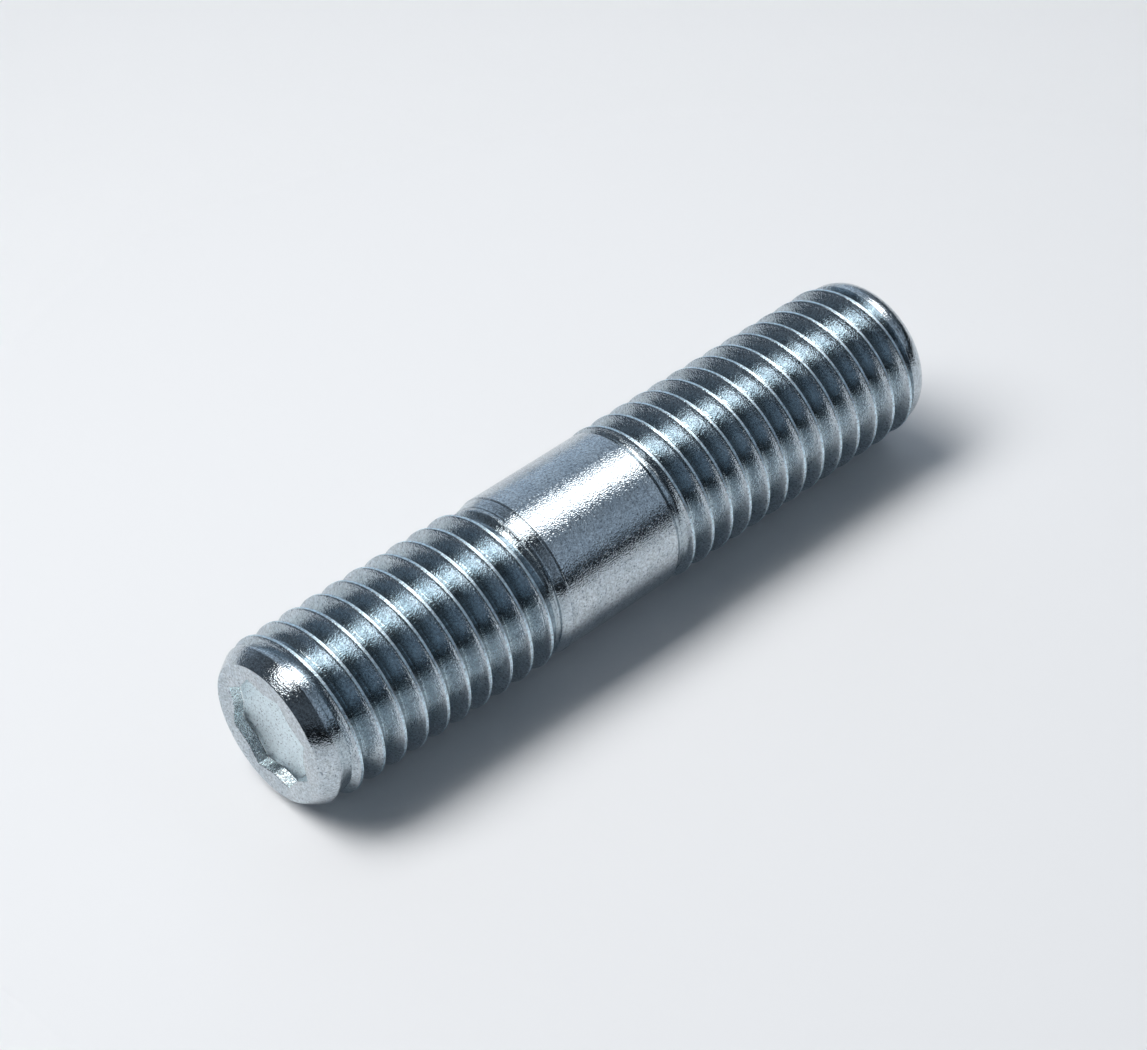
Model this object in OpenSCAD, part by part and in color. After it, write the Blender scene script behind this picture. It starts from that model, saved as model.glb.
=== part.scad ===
// Exhaust manifold stud: a headless steel stud lying on its side along X.
// The end with the shallow star-shaped drive recess faces -X, and the floor is z = 0.
// Both ends carry the same right-hand thread, with a plain shank between them.

/* [Stud] */
// Length from the recessed end face to the rounded end face
overall_length = 46.5; // [44:0.5:60]
// Diameter over the thread crests
crest_diameter = 9.95; // [9.9:0.01:10]
// Diameter of the plain shank
shank_diameter = 9.8; // [9.7:0.05:9.85]
// Distance from the recessed end face to the shank's shoulder
front_end_length = 16.9; // [12:0.1:20]
// Length of the shank, from its shoulder to its rear edge
shank_length = 8.5; // [6:0.1:12]

/* [Thread] */
// Distance from one crest to the next
pitch = 1.5; // [1.25:0.25:1.5]
// Where the first crest of the front thread starts, from the front end face
front_thread_start = 1.25; // [1.2:0.05:1.4]

/* [Ends] */
// Diameter of the flat on the recessed end
front_face_diameter = 8.4; // [8:0.1:8.8]
// Length of the chamfer on the recessed end
front_chamfer_length = 0.9; // [0.8:0.05:0.95]
// Diameter of the plain band behind the front chamfer
front_band_diameter = 9.6; // [9.5:0.05:9.7]
// Diameter of the flat on the rounded end
rear_face_diameter = 7.95; // [7.5:0.05:8.2]
// Length of the rounding on the rear end
rear_round_length = 1.2; // [1:0.05:1.3]
// Diameter of the plain band before the rounding
rear_band_diameter = 9.5; // [9.4:0.05:9.6]
// Length of the chamfer at the shank's front shoulder
shoulder_length = 0.6; // [0.4:0.05:0.8]
// Length of the small chamfer at the shank's rear edge
rear_edge_length = 0.3; // [0.2:0.05:0.4]

/* [Drive recess] */
// Number of points of the star
recess_points = 8; // [6:1:10]
// Radius of the star's points
recess_point_radius = 3.35; // [3.1:0.05:3.6]
// Radius of the star's inner corners
recess_corner_radius = 2.9; // [2.6:0.05:3]
// Depth of the recess
recess_depth = 0.7; // [0.5:0.05:1]
// Turn of the star about the stud's axis, in degrees
recess_turn = 20; // [0:1:45]

/* [Hidden] */
$fn = 96;
steps = 36;
step_angle = 360 / steps;
crest_radius = crest_diameter / 2 / cos(step_angle / 2);
root_radius = crest_radius - 0.6134 * pitch;
crest_half = pitch / 16;
flank_width = 0.6134 * pitch * tan(30);
root_half = pitch / 2 - crest_half - flank_width;
axis_height = crest_diameter / 2;
shank_end = front_end_length + shank_length;
front_band_end = front_chamfer_length + 0.1;
rear_band_start = overall_length - rear_round_length - 0.2;
neck_radius = 4.66;
run_in_radius = 4.55;
shoulder_radius = 4.72;
round_angle = 70;
steel = [0.72, 0.75, 0.79];

// A blend from 0 to 1 that starts and ends gently.
function ease(t) = t <= 0 ? 0 : t >= 1 ? 1 : t * t * (3 - 2 * t);

// Positions past a limit are drawn together, so that they stay inside the end of the stud.
function gather(x, limit) = x < limit ? x : limit + (x - limit) / (1 + (x - limit) / 0.6);

function ring_point(x, r, a) = [x, r * cos(a), r * sin(a)];

function quad(a, b, c, d) = [[a, b, c], [a, c, d]];

// One length of right-hand thread, solid to the axis. The crest starts at x0 and ends
// after count steps. The start and end fade into plain rounds of radius r0 and r1, which
// reach back to x = cap0 and on to x = cap1. rise and sink are the turns over which the
// crest comes up and the groove goes down, at the start and at the end.
module thread_length(x0, a0, count, cap0, cap1, r0, r1, rise, sink, limit) {
    crest_r = [for (i = [0 : count + steps])
        i > count ? r1 :
        r0 + (crest_radius - r0) * ease(i / steps / rise[0])
        - (crest_radius - r1) * (1 - ease((count - i) / steps / rise[1]))];
    groove_r = [for (i = [0 : count])
        r0 - (r0 - root_radius) * ease(i / steps / sink[0])
        + (r1 - root_radius) * (1 - ease((count - i) / steps / sink[1]))];
    half = [for (r = crest_r)
        min(crest_half + (crest_radius - r) * tan(30), pitch / 2 - root_half - 0.02)];
    angle = [for (i = [0 : count + steps]) a0 + step_angle * i];
    centre = [for (i = [0 : count + steps]) x0 + pitch * i / steps];

    cap_start = [for (i = [0 : steps - 1]) ring_point(cap0, r0, angle[i])];
    before = [for (i = [0 : count + steps]) ring_point(
        gather(centre[i] - pitch / 2 + root_half, limit),
        i < steps ? r0 : groove_r[i - steps], angle[i])];
    crest_near = [for (i = [0 : count + steps]) ring_point(
        gather(centre[i] - half[i], limit), crest_r[i], angle[i])];
    crest_far = [for (i = [0 : count]) ring_point(
        gather(centre[i] + half[i], limit), crest_r[i], angle[i])];
    after = [for (i = [0 : count]) ring_point(
        gather(centre[i] + pitch / 2 - root_half, limit), groove_r[i], angle[i])];
    cap_end = [for (i = [0 : steps - 1]) ring_point(cap1, r1, angle[count + i])];

    a = steps;
    b = a + count + steps + 1;
    c = b + count + steps + 1;
    d = c + count + 1;
    e = d + count + 1;

    faces = [
        [for (i = [0 : steps - 1]) i],
        for (i = [0 : steps - 2]) each quad(i, a + i, a + i + 1, i + 1),
        [steps - 1, a + steps - 1, a + steps, d, c, b, a, 0],
        for (i = [0 : count + steps - 1]) each quad(a + i, b + i, b + i + 1, a + i + 1),
        for (i = [0 : count - 1]) each quad(b + i, c + i, c + i + 1, b + i + 1),
        for (i = [0 : count - 1]) each quad(c + i, d + i, d + i + 1, c + i + 1),
        for (i = [0 : count - 1])
            each quad(d + i, a + i + steps, a + i + steps + 1, d + i + 1),
        [b + count + 1, b + count, c + count, d + count, a + count + steps,
            b + count + steps, e, e + 1],
        for (i = [1 : steps - 1]) each quad(
            b + count + i, e + i, e + (i + 1) % steps, b + count + i + 1),
        [for (i = [steps - 1 : -1 : 0]) e + i]
    ];

    polyhedron(
        points = concat(cap_start, before, crest_near, crest_far, after, cap_end),
        faces = faces, convexity = 10);
}

// A round body about the X axis from a list of [distance along X, radius].
module turned(profile) {
    rotate([90, 0, 90])
        rotate_extrude()
            polygon([for (p = profile) [p[1], p[0]]]);
}

module front_end() {
    turned([
        [0, 0],
        [0, front_face_diameter / 2],
        [front_chamfer_length, front_band_diameter / 2],
        [front_band_end, front_band_diameter / 2],
        [front_band_end, 0]
    ]);
}

module shank() {
    turned([
        [front_end_length - 0.12, 0],
        [front_end_length - 0.12, shoulder_radius],
        [front_end_length, shoulder_radius],
        [front_end_length + shoulder_length, shank_diameter / 2],
        [shank_end, shank_diameter / 2],
        [shank_end + rear_edge_length, shoulder_radius],
        [shank_end + rear_edge_length, 0]
    ]);
}

module rear_end() {
    drop = (rear_band_diameter - rear_face_diameter) / 2 / (1 - cos(round_angle));
    reach = rear_round_length / sin(round_angle);
    turned(concat(
        [[rear_band_start, 0]],
        [[rear_band_start, rear_band_diameter / 2]],
        [for (t = [0 : round_angle / 5 : round_angle]) [
            overall_length - rear_round_length + reach * sin(t),
            rear_band_diameter / 2 - drop * (1 - cos(t))]],
        [[overall_length, 0]]
    ));
}

module front_thread() {
    count = round((front_end_length - 0.15 - front_thread_start) / pitch * steps);
    thread_length(
        x0 = front_thread_start, a0 = -65, count = count,
        cap0 = front_chamfer_length - 0.3, cap1 = front_end_length + pitch,
        r0 = run_in_radius, r1 = neck_radius,
        rise = [0.3, 0.45], sink = [0.6, 1.6], limit = overall_length);
}

module rear_thread() {
    start = shank_end - 0.1333;
    count = round((rear_band_start + 0.08 - start) / pitch * steps);
    thread_length(
        x0 = start, a0 = -145, count = count,
        cap0 = shank_end - 1.1, cap1 = rear_band_start + 0.45,
        r0 = neck_radius - 0.06, r1 = run_in_radius,
        rise = [0.5, 0.35], sink = [0.75, 1.2], limit = rear_band_start - 0.1);
}

// The outline of the star: its points, with an inner corner halfway between each two.
module recess_outline() {
    wedge = 360 / recess_points;
    polygon([for (i = [0 : recess_points - 1]) each [
        for (k = [[0, recess_point_radius], [wedge / 2, recess_corner_radius]])
            let (a = recess_turn + i * wedge + k[0])
            [-k[1] * sin(a), k[1] * cos(a)]
    ]]);
}

module stud() {
    color(steel)
    translate([-overall_length / 2, 0, axis_height])
    difference() {
        union() {
            front_end();
            front_thread();
            shank();
            rear_thread();
            rear_end();
        }
        translate([-1, 0, 0])
            rotate([0, 90, 0])
                linear_extrude(height = 1 + recess_depth)
                    recess_outline();
    }
}

stud();
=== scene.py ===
from math import radians

import bmesh
import bpy
import numpy as np
from mathutils import Euler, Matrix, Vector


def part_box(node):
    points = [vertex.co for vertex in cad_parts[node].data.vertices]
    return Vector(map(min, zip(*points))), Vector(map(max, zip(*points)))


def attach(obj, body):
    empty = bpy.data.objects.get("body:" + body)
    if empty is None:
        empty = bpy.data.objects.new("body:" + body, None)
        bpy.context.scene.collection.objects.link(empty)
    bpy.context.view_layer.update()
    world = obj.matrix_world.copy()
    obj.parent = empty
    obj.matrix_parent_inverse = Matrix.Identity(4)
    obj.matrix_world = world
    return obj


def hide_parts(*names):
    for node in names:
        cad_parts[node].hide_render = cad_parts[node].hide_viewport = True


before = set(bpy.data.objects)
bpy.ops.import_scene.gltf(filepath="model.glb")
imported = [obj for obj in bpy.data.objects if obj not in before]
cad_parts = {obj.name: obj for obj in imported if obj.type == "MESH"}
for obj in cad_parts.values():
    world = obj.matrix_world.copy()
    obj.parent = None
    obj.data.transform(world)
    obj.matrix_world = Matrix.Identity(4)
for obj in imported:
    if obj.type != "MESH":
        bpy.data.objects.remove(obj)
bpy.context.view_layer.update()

# ---------------------------------------------------------------- the stud
# One piece of round steel bar: both ends rolled with the same right-hand thread, the ends
# chamfered, a shallow star pressed into one end face, then zinc plated blue-white.
# The whole skin is one surface r(s, a): s runs along the axis from the recessed end face,
# a goes round it from +Y towards +Z. Lengths here are in millimetres, angles in degrees.
low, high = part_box("stud")
length = (high.x - low.x) * 1000
axis_z = (high.z - low.z) * 500
crest_r = axis_z
face_r, front_band_r, shoulder_r, shank_r, rear_band_r = 4.2, 4.8, 4.72, 4.9, 4.75
chamfer_length, rounding_length = 0.9, 1.2

# The first crest of each thread, where it passes crest_angle, and the stretch along the axis
# that each thread's rows take up.
pitch, crest_angle = 1.5, 55
front_crest, front_thread = 1.75, (1.2, 16.75)
rear_crest, rear_thread = 26.1, (25.75, 45.1)
shank_middle = 21.0

# The plain lands that the threads run into, as (distance, radius): the band behind the
# chamfer, the shank with its front shoulder, fine groove and rear edge, and the band before
# the rounding. Under the threads there is no land: it lies below their roots.
under = 3.9
lands = np.array([
    (0, front_band_r), (1.0, front_band_r), (1.25, under),
    (16.5, under), (16.78, 4.70), (16.9, shoulder_r), (17.40, 4.86), (17.47, 4.82),
    (17.53, shank_r), (25.4, shank_r), (25.7, shoulder_r), (25.9, under),
    (44.9, under), (45.1, rear_band_r), (length, rear_band_r),
])


def ease(t):
    """0 below 0, 1 above 1, and a gentle blend between."""
    t = np.clip(t, 0, 1)
    return t * t * (3 - 2 * t)


def window(at, start, rise, end, fall):
    """1 from start to end, easing up over the length rise after start and down over the
    length fall before end, and 0 outside."""
    return ease((at - start) / rise) * ease((end - at) / fall)


def softer_max(a, b, k):
    """The larger of two heights, with the corner between them rounded over about k."""
    return (a + b + np.sqrt((a - b) ** 2 + k * k)) / 2


def softer_min(a, b, k):
    """The smaller of two heights, rounded in the same way."""
    return -softer_max(-a, -b, k)


def thread_form(q):
    """Depth at distance q from the crest: sides at 30 degrees to the radius, a well rounded
    root, and a narrow crest with the fine seam that rolling leaves between its two edges."""
    half_crest, root_depth, seam_depth, seam_width = 0.10, 1.0, 0.020, 0.045
    side = softer_max((np.abs(q) - half_crest) / np.tan(radians(30)), 0, 0.05)
    return softer_min(side, root_depth, 0.40) + seam_depth * np.exp(-(q / seam_width) ** 2)


crest_level = thread_form(np.linspace(0, 0.2, 201)).min()


def rolled(s, a, first, blank, crests, grooves):
    """Radius of a bar of radius blank with a thread rolled on it, its first crest at first.
    A crest stands out of the bar and a groove sinks into it, each as far as the window it
    lies in lets it, so that the thread fades in and out."""
    turn = (s - first) / pitch - (a - crest_angle) / 360
    q = (turn - np.round(turn)) * pitch
    rise = window(s - q, *crests)
    sink = window(s - (turn - np.floor(turn) - 0.5) * pitch, *grooves)
    full = crest_r - (thread_form(q) - crest_level)
    return blank + rise * np.maximum(full - blank, 0) - sink * np.maximum(blank - full, 0)


def skin_radius(s, a):
    """Radius of the turned and rolled surface at distance s and angle a: the two threads,
    filled up to the lands, then cut back at both ends. Each window is given as (start, rise,
    end, fall) along the axis."""
    front = rolled(
        s, a, front_crest, blank=4.55 + 0.11 * ease((s - 2) / 13),
        crests=(1.25, 0.45, 16.75, 0.68), grooves=(2.0, 0.9, 17.5, 2.4))
    rear = rolled(
        s, a, rear_crest, blank=4.60 - 0.05 * ease((s - 27) / 15),
        crests=(25.27, 0.75, 45.18, 0.53), grooves=(26.02, 1.12, 45.93, 1.8))
    r = np.where(s < shank_middle, front, rear)
    r = softer_max(r, np.interp(s, lands[:, 0], lands[:, 1]), 0.02)

    # A chamfer in front, very slightly convex, and behind an arc of 70 degrees, flattened to
    # fall by 0.775. A true arc of radius 1 falls by arc_fall. Ahead of it, nothing is cut.
    chamfer = face_r + 0.6 * s / chamfer_length
    chamfer += 0.10 * (s / chamfer_length) * np.clip(1 - s / chamfer_length, 0, 1)
    start, arc, arc_fall, clear = length - rounding_length, radians(70), 0.658, 9.0
    t = np.arcsin(np.clip((s - start) / rounding_length, 0, 1) * np.sin(arc))
    rounding = np.where(s > start, rear_band_r - 0.775 * (1 - np.cos(t)) / arc_fall, clear)
    return softer_min(softer_min(r, chamfer, 0.02), rounding, 0.02)


# The first column of points runs through a point of the star. The rows of a thread lie at
# these distances to either side of its crest, closest where the form bends most.
star_turn, columns = 20, 96
angles = star_turn + np.arange(columns) * 360 / columns
beside = [0.025, 0.05, 0.07, 0.09, 0.11, 0.13, 0.16, 0.22, 0.30, 0.38, 0.46, 0.54, 0.60, 0.66, 0.71]
across_rows = np.array([-q for q in reversed(beside)] + [0.0] + beside + [pitch / 2])


def ring_zone(rings):
    """Rings round the axis, given as (distance, radius) at every angle. Each face joins a
    ring to the next one."""
    s = np.array([np.broadcast_to(distance, angles.shape) for distance, radius in rings])
    r = np.array([np.broadcast_to(radius, angles.shape) for distance, radius in rings])
    i, j = np.meshgrid(np.arange(len(s) - 1), np.arange(columns), indexing="ij")
    k = (j + 1) % columns
    here, there = i * columns, (i + 1) * columns
    return s, r, np.stack([here + j, here + k, there + k, there + j], axis=-1).reshape(-1, 4)


def thread_zone(first, start, end):
    """Rows that climb with the helix whose first crest is at first, so that a crest is one
    row all along. After a turn a row carries on as the row one pitch on. Every row is held
    between the rings s = start and s = end."""
    turns = np.arange(np.floor((start - first) / pitch) - 2, np.ceil((end - first) / pitch) + 3)
    base = (first + pitch * turns[:, None] + across_rows).ravel()
    s = np.clip(base[:, None] + pitch * (angles - crest_angle) / 360, start, end)
    step = len(across_rows)
    i, j = np.meshgrid(np.arange(len(base) - 1 - step), np.arange(columns), indexing="ij")
    here = i * columns + j
    beyond = np.where(j < columns - 1, here + 1, (i + step) * columns)
    quads = np.stack([here, beyond, beyond + columns, here + columns], axis=-1).reshape(-1, 4)
    return s, skin_radius(s, np.broadcast_to(angles, s.shape)), quads


def turned(*spans):
    """Rings on the skin, from spans of (start, end, count)."""
    stations = np.unique(np.concatenate([np.linspace(*span) for span in spans]).round(4))
    return [(s, skin_radius(np.full(columns, s), angles)) for s in stations]


# The front face, from the middle out: the star's flat floor, a small round at the foot of its
# wall, the wall, its broken edge and the flat rim. The star has eight points and straight
# sides, so its radius is that of a line from a point (tip) to an inner corner.
tip, corner, depth, half_wedge = 3.35, 2.9, 0.7, 22.5
wedge = np.abs((angles - star_turn + half_wedge) % (2 * half_wedge) - half_wedge)
inward = tip - corner * np.cos(radians(half_wedge))
aside = corner * np.sin(radians(half_wedge))
star = tip * aside / (aside * np.cos(np.radians(wedge)) + inward * np.sin(np.radians(wedge)))
face = [
    (depth, 0 * star), (depth, 0.5 * star), (depth, star - 0.06), (depth - 0.02, star - 0.02),
    (depth - 0.06, star), (0.05, star), (0.015, star + 0.015), (0.0, star + 0.05),
    (0.0, 0 * star + 4.17),
]
end_edge = skin_radius(np.full(columns, length), angles)
zones = [
    ring_zone(face + turned((0, 0.8, 9), (0.8, front_thread[0], 21))),
    thread_zone(front_crest, *front_thread),
    ring_zone(turned((front_thread[1], 17.0, 13), (17.0, 17.36, 5), (17.36, 17.58, 12),
                     (17.58, 25.35, 9), (25.35, rear_thread[0], 21))),
    thread_zone(rear_crest, *rear_thread),
    ring_zone(turned((rear_thread[1], 45.35, 13), (45.35, length, 16))
              + [(length, 0.99 * end_edge), (length, 0.5 * end_edge), (length, 0 * star)]),
]
points, faces, so_far = [], [], 0
for s, r, quads in zones:
    a = np.radians(np.broadcast_to(angles, s.shape))
    grid = np.stack([low.x * 1000 + s, r * np.cos(a), axis_z + r * np.sin(a)], axis=-1)
    points.append(grid.reshape(-1, 3) / 1000)
    faces.append(quads + so_far)
    so_far += s.size
mesh = bpy.data.meshes.new("Stud")
mesh.from_pydata(np.concatenate(points).tolist(), [], np.concatenate(faces).tolist())

# The zones share their end rings, and rows held at a ring lie on it: one point for each place.
joined = bmesh.new()
joined.from_mesh(mesh)
bmesh.ops.remove_doubles(joined, verts=joined.verts, dist=2e-7)
joined.to_mesh(mesh)
joined.free()
mesh.polygons.foreach_set("use_smooth", np.ones(len(mesh.polygons), dtype=bool))
mesh.set_sharp_from_angle(angle=radians(50))
stud = bpy.data.objects.new("Stud", mesh)
bpy.context.scene.collection.objects.link(stud)

# What the finish needs to know of each point: its place across the thread, how deep in the
# groove it lies, whether it lies in the pressed star or on a cut face, and which way the
# tool marks run. In the threads the marks follow the helix, in the star they run down its
# walls, and elsewhere they are rings round the axis.
placed = np.empty(len(mesh.vertices) * 3)
mesh.vertices.foreach_get("co", placed)
x_all, y_all, z_all = (placed.reshape(-1, 3) * 1000).T
s_all, z_all = x_all - low.x * 1000, z_all - axis_z
r_all = np.hypot(y_all, z_all)


def along(start, end):
    """Whether each point lies between two distances along the axis."""
    return (s_all > start) & (s_all < end)


helix = (s_all - np.where(s_all < shank_middle, front_crest, rear_crest)) / pitch
helix = helix - (np.degrees(np.arctan2(z_all, y_all)) - crest_angle) / 360
threaded = along(1.4, 16.6) | along(26.0, 45.1)
across = np.stack([np.sin(2 * np.pi * helix), np.cos(2 * np.pi * helix), threaded * 1.0], axis=-1)
grooved = along(1.2, 17.0) | along(25.5, 45.2)
groove = np.clip((shank_r - r_all) / 1.15, 0, 1) * grooved
pressed = along(0.04, 1) & (r_all < 3.5)
pressed_floor = along(depth - 0.001, 1) & (r_all < 3.3)
lathe_cut = (along(-1, 1.4) & (r_all > 4.17)) | along(16.6, 17.5)
lathe_cut |= along(25.4, 26.0) | (along(45.0, length + 1) & (r_all > 3.9))
drift = 0.16 * s_all + 0.24 * y_all + 0.19 * z_all
marks = np.stack([9.0 * s_all, 0.35 * y_all, 0.35 * z_all], axis=-1)
marks[pressed] = np.stack([0.4 * s_all, 7.0 * y_all, 7.0 * z_all], axis=-1)[pressed]
marks[threaded] = np.stack([2.6 * across[:, 0], 2.6 * across[:, 1], drift], axis=-1)[threaded]
for name, values in (("groove", groove), ("pressed", pressed), ("pressed_floor", pressed_floor),
                     ("lathe_cut", lathe_cut)):
    mesh.attributes.new(name, "FLOAT", "POINT").data.foreach_set("value", values * 1.0)
for name, values in (("across", across), ("marks", marks)):
    mesh.attributes.new(name, "FLOAT_VECTOR", "POINT").data.foreach_set("vector", values.ravel())

# Bright zinc plate over steel: bluish, with a fine grain all over, small pits, and rolling
# lines along the thread. It is duller in the grooves, where it is also painted darker and
# bluer as shade, and paler on the crests and in the star. The relief is the height of the grain and
# the lines, in metres.
zinc = bpy.data.materials.new("Zinc plate")
zinc.use_nodes = True
nodes, links = zinc.node_tree.nodes, zinc.node_tree.links
shader = nodes["Principled BSDF"]
plate_dark, plate_pale = (0.48, 0.545, 0.595), (0.555, 0.615, 0.655)
# The groove colours are painted shade: darker and bluer plate for the shadow and inter-reflection
# that fall in the grooves.
groove_shade_dark, groove_shade_pale = (0.275, 0.378, 0.430), (0.365, 0.468, 0.520)
star_wall, star_floor = (0.73, 0.81, 0.84), (0.77, 0.895, 0.95)
crest_tint, pit_tint = (0.62, 0.77, 0.86), (0.13, 0.16, 0.20)
relief = 0.000026


def node(kind, **settings):
    """A new node in the tree at hand, with its properties set by name."""
    made = nodes.new("ShaderNode" + kind)
    for key, value in settings.items():
        setattr(made, key, value)
    return made


def noise(coordinates, scale, detail=2.0):
    """Noise between about 0.2 and 0.8, with a feature every 1/scale."""
    made = node("TexNoise")
    made.inputs["Scale"].default_value = scale
    made.inputs["Detail"].default_value = detail
    links.new(coordinates, made.inputs["Vector"])
    return made.outputs["Fac"]


def ranged(value, low_in, high_in, low_out, high_out):
    """The value carried from one range to another, held at both ends."""
    made = node("MapRange")
    for key, number in (("From Min", low_in), ("From Max", high_in),
                        ("To Min", low_out), ("To Max", high_out)):
        made.inputs[key].default_value = number
    links.new(value, made.inputs["Value"])
    return made.outputs["Result"]


def blend(share, first, second):
    """The first colour where share is 0 and the second where it is 1."""
    made = node("Mix", data_type="RGBA")
    links.new(share, made.inputs["Factor"])
    for key, colour in (("A", first), ("B", second)):
        socket = [one for one in made.inputs if one.name == key and one.type == "RGBA"][0]
        if isinstance(colour, tuple):
            socket.default_value = (*colour, 1)
        else:
            links.new(colour, socket)
    return [one for one in made.outputs if one.type == "RGBA"][0]


def maths(operation, first, second=0):
    """One sum of a number or socket, or of two."""
    made = node("Math", operation=operation)
    for socket, item in zip(made.inputs, (first, second)):
        if isinstance(item, (int, float)):
            socket.default_value = item
        else:
            links.new(item, socket)
    return made.outputs["Value"]


def layer_of(name):
    """A reader of one of the mesh's own attributes, with outputs Fac and Vector."""
    return node("Attribute", attribute_name=name)


place = node("TexCoord").outputs["Object"]
groove_share = layer_of("groove").outputs["Fac"]
pressed_share = layer_of("pressed").outputs["Fac"]
floor_share = layer_of("pressed_floor").outputs["Fac"]
lathe_share = layer_of("lathe_cut").outputs["Fac"]
marks_way = layer_of("marks").outputs["Vector"]
turning = node("SeparateXYZ")
links.new(layer_of("across").outputs["Vector"], turning.inputs[0])
sideways, toward, threaded_share = turning.outputs

# Distance from the crest in millimetres, how much of the crest is in a point, and how much of
# the stretch beside it.
off_crest = maths("MULTIPLY", maths("ARCTAN2", sideways, toward), pitch / (2 * np.pi))
off_crest = maths("ABSOLUTE", off_crest)
crest_share = maths("MULTIPLY", ranged(off_crest, 0.045, 0.115, 1, 0), threaded_share)
near_crest = maths("MULTIPLY", ranged(off_crest, 0.10, 0.42, 1, 0), threaded_share)

cloudy = noise(place, 900, 3)
spangle = noise(place, 5800, 1.0)
grit = noise(place, 12500, 0.5)
speck = noise(place, 8500, 1.0)
lines = noise(marks_way, 1.0, 1.5)

# The colour: clouds on the plain plate, painted shade in the grooves streaked by the lines,
# then the grain over all but the star's floor, and last the pits.
tint = blend(ranged(cloudy, 0.35, 0.65, 0, 1), plate_dark, plate_pale)
# Painted shade: the plate goes darker and bluer the deeper a point lies in a groove, streaked by the
# lines.
groove_shade = blend(ranged(lines, 0.40, 0.60, 0, 1), groove_shade_dark, groove_shade_pale)
tint = blend(groove_share, tint, groove_shade)
tint = blend(pressed_share, tint, star_wall)
tint = blend(crest_share, tint, crest_tint)
darker = node("VectorMath", operation="SCALE")
links.new(tint, darker.inputs[0])
links.new(ranged(maths("ADD", grit, spangle), 0.72, 1.28, 0.70, 1.22), darker.inputs["Scale"])
tint = blend(ranged(floor_share, 0, 1, 0, 0.65), darker.outputs["Vector"], star_floor)
tint = blend(ranged(speck, 0.32, 0.37, 0.75, 0), tint, pit_tint)
links.new(tint, shader.inputs["Base Color"])
shader.inputs["Metallic"].default_value = 1.0

# The polish: bright all over, softer on the star's floor, along the crests and in the grooves.
rough = maths("ADD", ranged(grit, 0.3, 0.7, 0.09, 0.15), ranged(floor_share, 0, 1, 0, 0.24))
rough = maths("ADD", rough, ranged(crest_share, 0, 1, 0, 0.22))
rough = maths("ADD", rough, ranged(groove_share, 0, 1, 0, 0.07))
links.new(rough, shader.inputs["Roughness"])

# The relief: grain, and lines that are deepest on the cut faces and beside the crests.
grain = maths("ADD", maths("MULTIPLY", spangle, 0.30), maths("MULTIPLY", grit, 0.70))
smoother = maths("MAXIMUM", maths("MAXIMUM", groove_share, floor_share), lathe_share)
grain = maths("MULTIPLY", grain, ranged(smoother, 0, 0.14, 1.0, 0.7))
deeper = maths("MULTIPLY", maths("MAXIMUM", near_crest, lathe_share), 0.35)
deeper = maths("ADD", deeper, maths("MULTIPLY", pressed_share, 0.30))
height = maths("ADD", grain, maths("MULTIPLY", lines, ranged(deeper, 0, 1, 0.20, 1.1)))
bump = node("Bump")
bump.inputs["Strength"].default_value = 1.0
bump.inputs["Distance"].default_value = relief
links.new(height, bump.inputs["Height"])
links.new(bump.outputs["Normal"], shader.inputs["Normal"])
stud.data.materials.append(zinc)
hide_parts("stud")
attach(stud, "root")

# ---------------------------------------------------------------- the setting
# A pale studio floor that runs out of sight.
bpy.ops.mesh.primitive_plane_add(size=6, location=(0, 0, 0))
floor = bpy.context.object
floor.name = "Floor"
paper = bpy.data.materials.new("Pale floor")
paper.use_nodes = True
paper_shader = paper.node_tree.nodes["Principled BSDF"]
paper_shader.inputs["Base Color"].default_value = (0.89, 0.895, 0.905, 1)
paper_shader.inputs["Roughness"].default_value = 0.7
floor.data.materials.append(paper)

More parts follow.
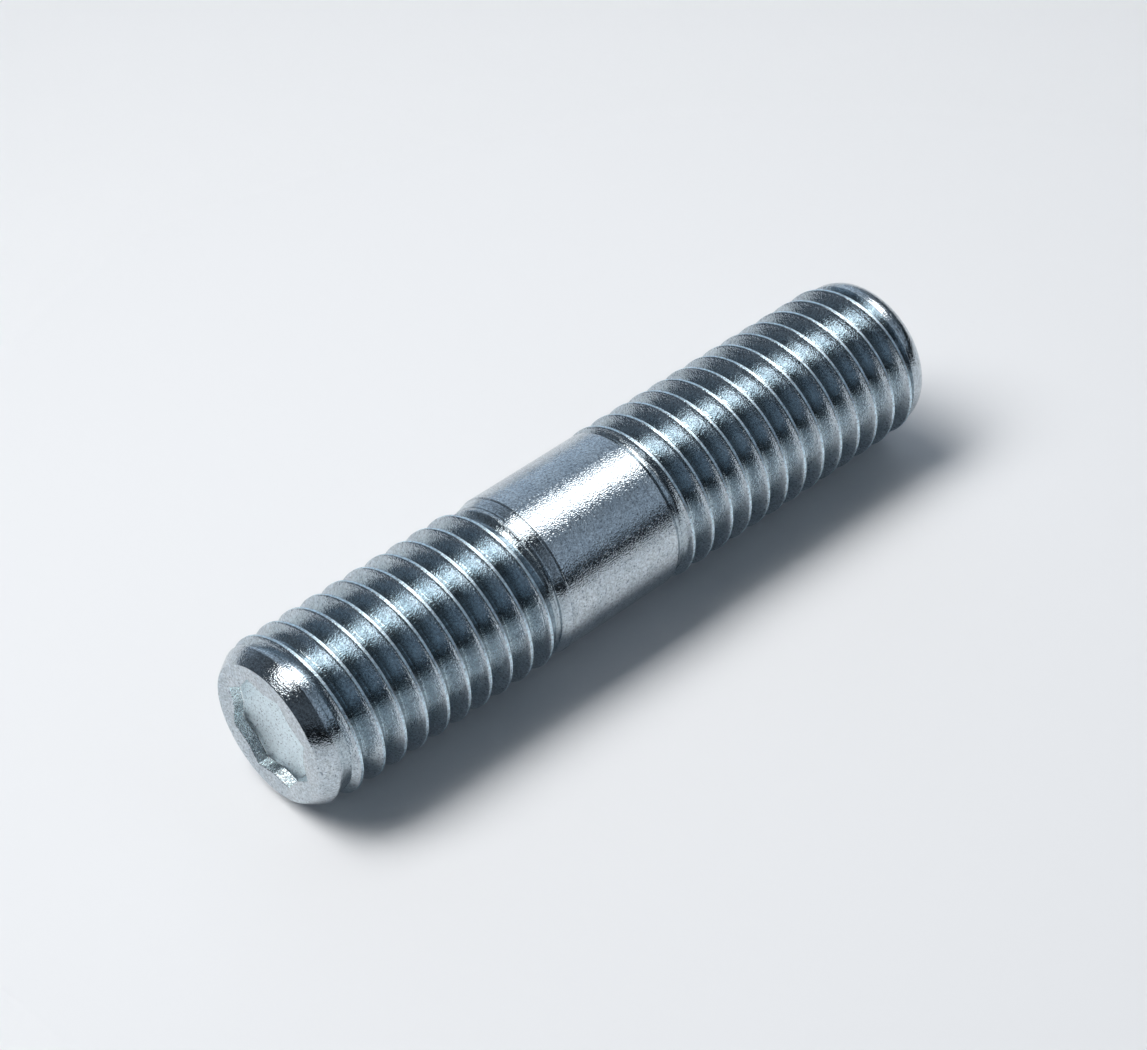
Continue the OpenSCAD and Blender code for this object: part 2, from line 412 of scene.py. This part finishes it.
# Soft ambient light of a studio: pale behind and to the right of the stud, dim to the left,
# far to the right, low in front and overhead. Each tone goes by the direction x, y, z of
# the light, a unit vector.
world = bpy.data.worlds.new("Studio")
bpy.context.scene.world = world
world.use_nodes = True
nodes, links = world.node_tree.nodes, world.node_tree.links
ambient_tint = (0.81, 0.96, 1.14)
way = node("SeparateXYZ")
links.new(node("TexCoord").outputs["Generated"], way.inputs[0])
x_way, y_way, z_way = way.outputs
behind = ranged(y_way, -0.30, 0.35, 0, 1)
rightward = maths("MULTIPLY", ranged(x_way, -0.30, 0.38, 0.22, 1), ranged(x_way, 0.64, 0.84, 1, 0.22))
wall_tone = ranged(z_way, 0.25, 0.75, 0.68, 0.37)
front_tone = maths("MULTIPLY", ranged(z_way, 0.27, 0.37, 0.02, 0.47),
                   ranged(z_way, 0.50, 0.85, 1, 0.6))
tone = maths("ADD", maths("MULTIPLY", behind, wall_tone),
             maths("MULTIPLY", maths("SUBTRACT", 1, behind), front_tone))
overhead = ranged(z_way, 0.87, 0.94, 1, 0.35)
tone = maths("MULTIPLY", maths("MULTIPLY", tone, rightward), overhead)
shade = node("VectorMath", operation="SCALE")
shade.inputs[0].default_value = ambient_tint
links.new(tone, shade.inputs["Scale"])
links.new(shade.outputs["Vector"], nodes["Background"].inputs["Color"])
nodes["Background"].inputs["Strength"].default_value = 1.0


def area_lamp(name, spot, turn, width, height, power):
    """An area lamp at a spot in metres, turned by three angles in degrees from facing
    straight down, its width along its own X."""
    data = bpy.data.lights.new(name, "AREA")
    data.shape = "RECTANGLE"
    data.size, data.size_y = width, height
    data.energy = power
    lamp = bpy.data.objects.new(name, data)
    bpy.context.scene.collection.objects.link(lamp)
    lamp.location = spot
    lamp.rotation_euler = Euler([radians(angle) for angle in turn])
    return lamp


# The key lamp up to the left and behind gives the light and the shadow, in a soft pool round
# the stud. A long white card above gives the streak in the plating.
key = area_lamp("Key", (-0.16, 0.163, 0.365), (-22.25, -23.7, 0), 0.367, 0.186, 0.345)
key.data.spread = radians(65)
key.data.color = (1.0, 0.992, 0.984)
key.visible_glossy = False
card = area_lamp("Card", (0.098, 0.104, 0.585), (-10.8, 0, -4), 1.22, 0.275, 3.9)
card.data.color = (1.0, 0.975, 0.95)
card.visible_diffuse = False

# ---------------------------------------------------------------- the camera
# A long lens, from in front and to the left of the recessed end, looking down on the stud.
elevation, azimuth = 42.85, -43.17
view = bpy.data.cameras.new("Camera")
view.sensor_fit = "HORIZONTAL"
view.sensor_width = 36
view.lens = 94.2
view.clip_start = 0.01
camera = bpy.data.objects.new("Camera", view)
bpy.context.scene.collection.objects.link(camera)
camera.location = (-0.085384, -0.089667, 0.120046)
camera.rotation_euler = Euler((radians(90 - elevation), 0, radians(azimuth)))
bpy.context.scene.camera = camera
bpy.context.scene.view_settings.view_transform = "Standard"
